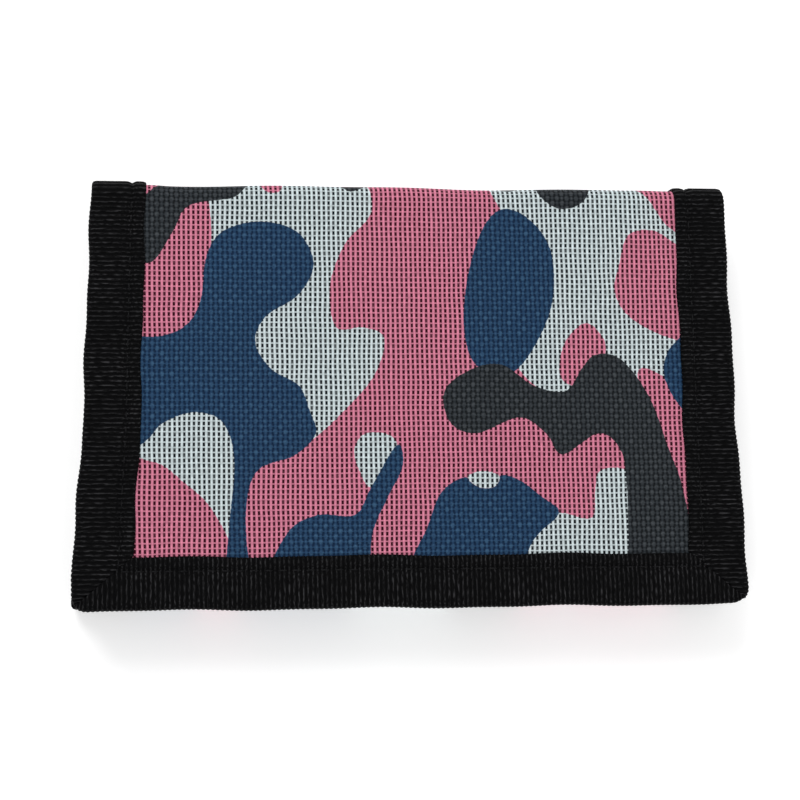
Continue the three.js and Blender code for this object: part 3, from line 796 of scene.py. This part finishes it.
# %% Side bindings
BAND = corner_of("binding_front_left")
SIDE_EDGE = BAND[0][0]
SIDE_INNER = BAND[1][0]
FRONT_BAND = corner_of("binding_front_bottom")
BOTTOM_EDGE = FRONT_BAND[0][1]
BOTTOM_ARM_SHORTER = 0.7  # the bottom tape's arms reach a little less far in than the solid's
BOTTOM_INNER = FRONT_BAND[1][1] - BOTTOM_ARM_SHORTER


INSIDE_DEPTHS = {side: (FRONT_Z - corner_of("binding_front_" + side)[0][2],
                        TOP_Y - corner_of("binding_top_fold_" + side)[0][1],
                        corner_of("binding_back_" + side)[1][2] - BACK_Z) for side in ("left", "right")}


def inside_depth(side, t):
    """How deep the inner arm lies: the left edge holds the pockets, the right is open for notes."""
    front, fold, back = INSIDE_DEPTHS[side]
    return float(np.interp(t, [-39, 30, MID_TOP - 4, MID_TOP + 5, MID_TOP + 10, MID_BACK],
                           [front, front, fold, fold, back, back]))


INNER_EDGE_SHARE = {-1: 0.72, 1: 0.2}


def side_binding(way, t_first, t_last, inner_edge, outer_edge, depth_of, sink=0.0):
    """A U tape along the folded line, on the left (way -1) or right, sunk in among the plies."""
    rows = round((t_last - t_first) / RIB_PITCH * RIB_STEPS)
    count = len(u_profile(1, 2, 2))

    def place(column, row):
        t = t_first + (t_last - t_first) * row / rows
        drawn = drawn_in(way, t) if outer_edge > 55 else 0
        wander = 0.3 * wave(t * 2.2, 7 * way)
        profile = u_profile(inner_edge - INNER_EDGE_SHARE[way] * drawn + wander,
                            outer_edge - drawn + wander, depth_of(t) - sink)
        before, here, after = (profile[max(0, min(count - 1, column + k))] for k in (-1, 0, 1))
        out = Vector((before[1] - after[1], after[0] - before[0]))
        out = out.normalized() if out.length > 0 else Vector((0, 0))
        lift = rib(t) * here[2]
        x = here[0] - out.x * lift
        depth = here[1] - out.y * lift + sink
        return on_line(way * x, t, depth), (way * column * 0.7, t)

    return laid_grid(count - 1, rows, place, lambda c: Vector((way, 0, 0)))


def cut_mitre(bm, way, keep_side):
    """Trims a tape on the slanting line from the inner to the outer corner of the flap."""
    inner = Vector((way * -SIDE_INNER, BOTTOM_INNER, FRONT_Z)) * MM
    outer = Vector((way * -SIDE_EDGE, BOTTOM_EDGE, FRONT_Z)) * MM
    slope = (outer - inner).normalized()
    normal = Vector((-slope.y, slope.x, 0)) * way
    if not keep_side:
        normal = -normal
    bmesh.ops.bisect_plane(bm, geom=bm.verts[:] + bm.edges[:] + bm.faces[:], dist=1e-7, plane_co=inner,
                           plane_no=normal, clear_inner=True)


def round_corners(bm):
    for vertex in bm.verts:
        x, y = rounded_corner(vertex.co.x / MM, vertex.co.y / MM)
        vertex.co.x, vertex.co.y = x * MM, y * MM


END_TUCK = 1.0  # the inner flap's side tapes end under its end tape
BINDING_NODES = {("front", "left"): ["binding_front_left"], ("front", "right"): ["binding_front_right"],
                 ("back", "left"): ["binding_top_fold_left", "binding_back_left"],
                 ("back", "right"): ["binding_top_fold_right", "binding_back_right"],
                 ("under", "left"): ["binding_bottom_fold_left"],
                 ("under", "right"): ["binding_bottom_fold_right"],
                 ("inner", "left"): ["binding_inner_left"], ("inner", "right"): ["binding_inner_right"]}
for stretch in STRETCHES:
    for side, way in (("left", -1), ("right", 1)):
        t_first, t_last = stretch[1], stretch[2]
        inner_edge, outer_edge = -SIDE_INNER, -SIDE_EDGE
        if stretch[0] == "front":
            t_first = BOTTOM_EDGE
        if stretch[0] == "inner":
            t_last = LINE_END - END_TUCK
            low, high = corner_of("binding_inner_right")
            inner_edge, outer_edge = low[0], high[0]
            depth_of = lambda t: float(np.interp(t, [MID_BOTTOM, MID_BOTTOM + 9, LINE_END], [2.0, 4.2, 4.2]))
        elif stretch[0] == "under":
            depth_of = lambda t, s=side: float(np.interp(t, [BOTTOM_CREASE - 1.8, BOTTOM_CREASE + 2],
                                                         [inside_depth(s, MID_BACK), 1.6]))
        else:
            depth_of = lambda t, s=side: inside_depth(s, t)
        bm = side_binding(way, t_first, t_last, inner_edge, outer_edge, depth_of)
        if stretch[0] == "front":
            cut_mitre(bm, way, True)
            round_corners(bm)
        tape = finish_mesh(bm, f"binding_{stretch[0]}_{side}_tape", GROSGRAIN)
        thicken(tape, TAPE_THICKNESS)
        bend_stretch(tape)
        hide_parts(*BINDING_NODES[(stretch[0], side)])
        print(tape.name, len(tape.data.polygons), "faces")

# %% Bottom binding of the front flap
def cross_binding(name, y_inner, y_edge, x_left, x_right, z_face, depth, mitred, nodes, body):
    """A U tape that runs across the wallet, ribbed lengthways of its own run."""
    columns = round((x_right - x_left) / RIB_PITCH * RIB_STEPS)
    count = len(u_profile(1, 2, 2))
    way = 1 if y_edge > y_inner else -1

    def place(column, row):
        x = x_left + (x_right - x_left) * column / columns
        wander = 0.22 * wave(x * 1.6, 3)
        profile = u_profile(abs(y_inner) + wander, abs(y_edge) + wander, depth) if way * y_edge > 0 and \
            way * y_inner > 0 else [(p[0] + way * y_inner - 20 + wander, p[1], p[2])
                                    for p in u_profile(20, 20 + abs(y_edge - y_inner), depth)]
        before, here, after = (profile[max(0, min(count - 1, row + k))] for k in (-1, 0, 1))
        out = Vector((before[1] - after[1], after[0] - before[0]))
        out = out.normalized() if out.length > 0 else Vector((0, 0))
        lift = rib(x) * here[2]
        near = abs(-SIDE_EDGE - abs(x)) - (abs(y_edge) - abs(here[0]))
        ridge = 0.22 * math.exp(-(near / 1.1) ** 2) if mitred and here[1] < 0 else 0
        point = Vector((x, way * (here[0] - out.x * lift), z_face - here[1] + out.y * lift + ridge))
        return point, (row * 0.7, x)

    bm = laid_grid(columns, count - 1, place, lambda c: Vector((0, way, 0)))
    if mitred:
        for side in (-1, 1):
            cut_mitre(bm, side, False)
        round_corners(bm)
    tape = finish_mesh(bm, name, GROSGRAIN)
    thicken(tape, TAPE_THICKNESS)
    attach(tape, body)
    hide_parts(*nodes)
    print(name, len(tape.data.polygons), "faces")
    return tape


cross_binding("binding_front_bottom_tape", BOTTOM_INNER, BOTTOM_EDGE, SIDE_EDGE, -SIDE_EDGE, FRONT_Z,
              FRONT_Z - FRONT_BAND[0][2], True, ["binding_front_bottom"], "front_flap")
END_LOW, END_HIGH = corner_of("binding_inner_end")
FLAP_SIDE = corner_of("binding_inner_right")[1][0]
LAPPED = 0.3  # the end tape lies over the side tapes' ends
cross_binding("binding_inner_end_tape", END_LOW[1], END_HIGH[1], drawn_in(-1, END_HIGH[1]) - FLAP_SIDE - 0.1,
              FLAP_SIDE - drawn_in(1, END_HIGH[1]) + 0.1, INNER_Z + LAPPED,
              INNER_Z - END_LOW[2] + 2 * LAPPED, False, ["binding_inner_end"], "inner_flap")

# %% [markdown]
# The lining's free edge has a narrow tape of its own, so that notes don't fray it. It is the same U
# profile, sunk in among the plies, and it crosses the two top creases with the lining.

# %% Note edge tape
NOTE_LOW, NOTE_HIGH = corner_of("note_edge_tape_back")
NOTE_SINK = TAPE_PROUD + NOTE_LOW[2] - BACK_Z
NOTE_DEPTH = NOTE_HIGH[2] - BACK_Z
NOTE_NODES = {"front": ["note_edge_tape_front"], "back": ["note_edge_tape_top_fold", "note_edge_tape_back"]}
NOTE_LAST = along(NOTE_LOW[1], BACK_Z)
for stretch in STRETCHES[:3]:
    t_first = BOTTOM_INNER + 0.4 if stretch[0] == "front" else stretch[1]
    bm = side_binding(1, t_first, min(stretch[2], NOTE_LAST), NOTE_LOW[0], NOTE_HIGH[0],
                      lambda t: NOTE_DEPTH, NOTE_SINK)
    tape = finish_mesh(bm, "note_edge_" + stretch[0] + "_tape", GROSGRAIN)
    thicken(tape, 0.35)
    bend_stretch(tape)
    if stretch[0] in NOTE_NODES:
        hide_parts(*NOTE_NODES[stretch[0]])

# %% [markdown]
# A sewing machine leaves a row of short thread bars that dip into the tape. Each bar here is one small
# stretched ball of twenty faces, and a whole row is one piece.

# %% Stitch rows
STITCH_PITCH = 2.6
STITCH_LENGTH = 1.9
STITCH_RADIUS = 0.17


def stitch_row(name, body, lines, material=STITCH):
    """Thread bars along straight lines, each given as (start, end) in mm."""
    bm = bmesh.new()
    for start, end in lines:
        start, end = Vector(start), Vector(end)
        count = max(1, round((end - start).length / STITCH_PITCH))
        turn = Vector((1, 0, 0)).rotation_difference(end - start).to_matrix().to_4x4()
        size = Matrix.Diagonal((STITCH_LENGTH / 2, STITCH_RADIUS, STITCH_RADIUS, 1))
        for step in range(count):
            middle = start.lerp(end, (step + 0.5) / count)
            where = Matrix.Translation(middle * MM) @ turn @ Matrix.Scale(MM, 4) @ size
            bmesh.ops.create_icosphere(bm, subdivisions=1, radius=1, matrix=where)
    piece = finish_mesh(bm, name, material)
    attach(piece, body)
    return piece


def band_line(way, y):
    """The sewing line on a side tape at height y."""
    return way * (-SIDE_INNER + GROOVE_FROM_EDGE - INNER_EDGE_SHARE[way] * drawn_in(way, y))


SEWN_Z = FRONT_Z + TAPE_PROUD - 0.36
LOW_SEW = BOTTOM_INNER - GROOVE_FROM_EDGE
front_lines = []
for way in (-1, 1):
    heights = [36, 18, -6, LOW_SEW]
    front_lines += [((band_line(way, a), a, SEWN_Z), (band_line(way, b), b, SEWN_Z))
                    for a, b in zip(heights, heights[1:])]
front_lines.append(((band_line(-1, LOW_SEW), LOW_SEW, SEWN_Z), (band_line(1, LOW_SEW), LOW_SEW, SEWN_Z)))
stitch_row("front_stitches", "front_flap", front_lines)
BACK_SEWN = BACK_Z - TAPE_PROUD + 0.36
back_lines = [((band_line(way, 35), 35, BACK_SEWN), (band_line(way, -35), -35, BACK_SEWN)) for way in (-1, 1)]
stitch_row("back_stitches", "back_panel", back_lines)

# %% [markdown]
# The flat inside pieces, such as pockets and tapes, are thin sheets with a little life in them. The
# hems, hook strip and stops are thicker, so they are boxes with soft edges.

# %% Flat inside pieces
def body_for(node):
    return NODES[node]["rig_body"]


def thin_sheet(name, node, material, swell=0.05, step=1.2):
    """A sheet that fills its node's box, with its thickness added inward."""
    low, high = corner_of(node)
    columns = max(2, round((high[0] - low[0]) / step))
    rows = max(2, round((high[1] - low[1]) / step))

    def place(column, row):
        y = low[1] + (high[1] - low[1]) * row / rows
        left = low[0] + drawn_in(-1, y) * (low[0] < -55)
        right = high[0] - drawn_in(1, y) * (high[0] > 55)
        x = left + (right - left) * column / columns
        return Vector((x, y, high[2] + swell * wave(x * 2, y * 2, low[2]))), (x, y)

    sheet = finish_mesh(laid_grid(columns, rows, place, lambda c: Vector((0, 0, 1))), name, material)
    thicken(sheet, high[2] - low[2])
    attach(sheet, body_for(node))
    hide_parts(node)
    return sheet


def soft_block(name, node, material, softness):
    """A box in its node's place, with its edges rounded."""
    low, high = (Vector(v) * MM for v in corner_of(node))
    bm = bmesh.new()
    bmesh.ops.create_cube(bm, size=1)
    bmesh.ops.scale(bm, vec=high - low, verts=bm.verts)
    bmesh.ops.translate(bm, vec=(high + low) / 2, verts=bm.verts)
    bmesh.ops.bevel(bm, geom=bm.edges[:] + bm.verts[:], offset=softness * MM, segments=3, profile=0.5,
                    affect="EDGES", material=-1)
    block = finish_mesh(bm, name, material)
    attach(block, body_for(node))
    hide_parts(node)
    return block


for number in (1, 2, 3):
    pocket, hem = f"card_pocket_{number}", f"pocket_hem_{number}"
    thin_sheet(pocket + "_cloth", pocket, LINING, 0.03)
    hem_node = [n for n in NODES if "hem" in n and n.endswith(str(number))][0]
    soft_block(hem + "_fold", hem_node, LINING, 0.13)
    low, high = corner_of(hem_node)
    middle = (low[0] + high[0]) / 2
    stitch_row(f"hem_{number}_stitches", body_for(hem_node),
               [((middle, low[1] + 1, high[2]), (middle, high[1] - 1, high[2]))])
thin_sheet("coin_pocket_front", "coin_pocket_panel", LINING)
thin_sheet("coin_pocket_top_strip", "coin_pocket_strip", LINING)
thin_sheet("zip_tape_lower_cloth", "zipper_tape_lower", ZIP_TAPE, 0.0)
thin_sheet("zip_tape_upper_cloth", "zipper_tape_upper", ZIP_TAPE, 0.0)
thin_sheet("id_window_sheet", "id_window", VINYL, 0.0)
for node in [n for n in NODES if "window" in n and n != "id_window"]:
    soft_block(node + "_binding", node, ZIP_TAPE, 0.12)
print("inside pieces laid")

# %% [markdown]
# Hook tape is a field of stiff plastic hooks and loop tape a felt of fine loops. A hook here is a small
# ball with a smaller one set on top and leaning to one side, and a loop is a small open ring that leans over.

# %% Hook and loop strips
HOOK_PITCH = 1.5
soft_block("hook_strip_base", "hook_strip", HOOK, 0.3)
soft_block("loop_strip_base", "loop_strip", LOOP, 0.3)


def field(name, node, material, pitch, face_z, direction, make):
    low, high = corner_of(node)
    bm = bmesh.new()
    across = int((high[0] - low[0] - 1.6) / pitch)
    along_y = int((high[1] - low[1] - 1.6) / pitch)
    for i in range(across + 1):
        for j in range(along_y + 1):
            x = (low[0] + high[0]) / 2 + (i - across / 2) * pitch + 0.12 * wave(i * 9, j * 7)
            y = (low[1] + high[1]) / 2 + (j - along_y / 2) * pitch + 0.12 * wave(j * 8, i * 11)
            make(bm, Vector((x, y, face_z)), direction, i, j)
    piece = finish_mesh(bm, name, material)
    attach(piece, body_for(node))
    print(name, len(piece.data.polygons), "faces")


def hook(bm, root, direction, i, j):
    lean = 0.16 if (i + j) % 2 else -0.16
    for rise, reach, wide in ((0.14, 0.0, 0.15), (0.32, lean, 0.12)):
        where = Matrix.Translation((root + Vector((reach, 0, direction * rise))) * MM)
        bmesh.ops.create_icosphere(bm, subdivisions=1, radius=wide * MM, matrix=where)


def loop(bm, root, direction, i, j):
    lean = Matrix.Rotation(0.5 * wave(i * 13, j * 17), 4, "X")
    lean = lean @ Matrix.Rotation(wave(i * 7, j * 5) * 2, 4, "Z")
    where = Matrix.Translation((root + Vector((0, 0, direction * 0.1))) * MM) @ lean
    made = bmesh.ops.create_circle(bm, segments=6, radius=0.34 * MM,
                                   matrix=where @ Matrix.Rotation(math.pi / 2, 4, "X"))
    ring = made["verts"]
    edges = list({e for v in ring for e in v.link_edges})
    wide = bmesh.ops.extrude_edge_only(bm, edges=edges)
    moved = [g for g in wide["geom"] if isinstance(g, bmesh.types.BMVert)]
    bmesh.ops.translate(bm, vec=where.to_3x3() @ Vector((0, 0.16 * MM, 0)), verts=moved)


hook_low = corner_of("hook_strip")[0]
loop_high = corner_of("loop_strip")[1]
field("hook_field", "hook_strip", HOOK, HOOK_PITCH, hook_low[2], -1, hook)
field("loop_field", "loop_strip", LOOP, 1.0, loop_high[2], 1, loop)

# %% [markdown]
# The zip's teeth are a coil of nylon sewn to each tape. A helix drawn as a curve with a round section
# gives a true coil, which is then made a mesh.

# %% Zip coils
COIL_PITCH = 1.0
COIL_WIRE = 0.16
COIL_POINTS = 8


def coil(name, node):
    low, high = corner_of(node)
    turns = (high[0] - low[0]) / COIL_PITCH
    wide = (high[1] - low[1]) / 2 - COIL_WIRE
    tall = (high[2] - low[2]) / 2 - COIL_WIRE
    curve = bpy.data.curves.new(name + "_line", "CURVE")
    curve.dimensions = "3D"
    curve.bevel_depth = COIL_WIRE * MM
    curve.bevel_resolution = 1
    curve.use_fill_caps = True
    spline = curve.splines.new("POLY")
    count = int(turns * COIL_POINTS)
    spline.points.add(count)
    for k, point in enumerate(spline.points):
        turn = 2 * math.pi * k / COIL_POINTS
        point.co = ((low[0] + COIL_PITCH * k / COIL_POINTS) * MM,
                    ((low[1] + high[1]) / 2 + wide * math.cos(turn)) * MM,
                    ((low[2] + high[2]) / 2 + tall * math.sin(turn)) * MM, 1)
    line = bpy.data.objects.new(name + "_line", curve)
    bpy.context.scene.collection.objects.link(line)
    bpy.context.view_layer.update()
    mesh = bpy.data.meshes.new_from_object(line.evaluated_get(bpy.context.evaluated_depsgraph_get()))
    bpy.data.objects.remove(line)
    mesh.materials.clear()
    mesh.materials.append(ZIP_COIL)
    piece = bpy.data.objects.new(name, mesh)
    bpy.context.scene.collection.objects.link(piece)
    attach(piece, body_for(node))
    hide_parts(node)
    print(name, len(mesh.polygons), "faces")


coil("zip_coil_lower", "zipper_coil_lower")
coil("zip_coil_upper", "zipper_coil_upper")

# %% [markdown]
# The slider and its pull are cast metal. The frame already has their shape, so a copy of each is
# merged, its flat faces joined, and every sharp edge given a small bevel that catches the light.

# %% Slider, pull and stops
def cast_metal(name, node, edge):
    bm = bmesh.new()
    bm.from_mesh(NODES[node].data)
    bmesh.ops.remove_doubles(bm, verts=bm.verts, dist=0.001 * MM)
    bmesh.ops.dissolve_limit(bm, angle_limit=math.radians(2), verts=bm.verts, edges=bm.edges)
    sharp = [e for e in bm.edges if len(e.link_faces) == 2 and e.calc_face_angle() > math.radians(35)]
    bmesh.ops.bevel(bm, geom=sharp, offset=edge * MM, segments=2, profile=0.5, affect="EDGES", material=-1,
                    clamp_overlap=True)
    piece = finish_mesh(bm, name, METAL, smooth=False)
    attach(piece, body_for(node))
    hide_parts(node)


cast_metal("zip_slider_cast", "zipper_slider", 0.12)
cast_metal("zip_pull_cast", "zipper_pull", 0.12)
for node in [n for n in NODES if "stop" in n]:
    soft_block(node + "_metal", node, METAL, 0.2)
print("still shown from the frame:", [n for n, o in NODES.items() if not o.hide_render])
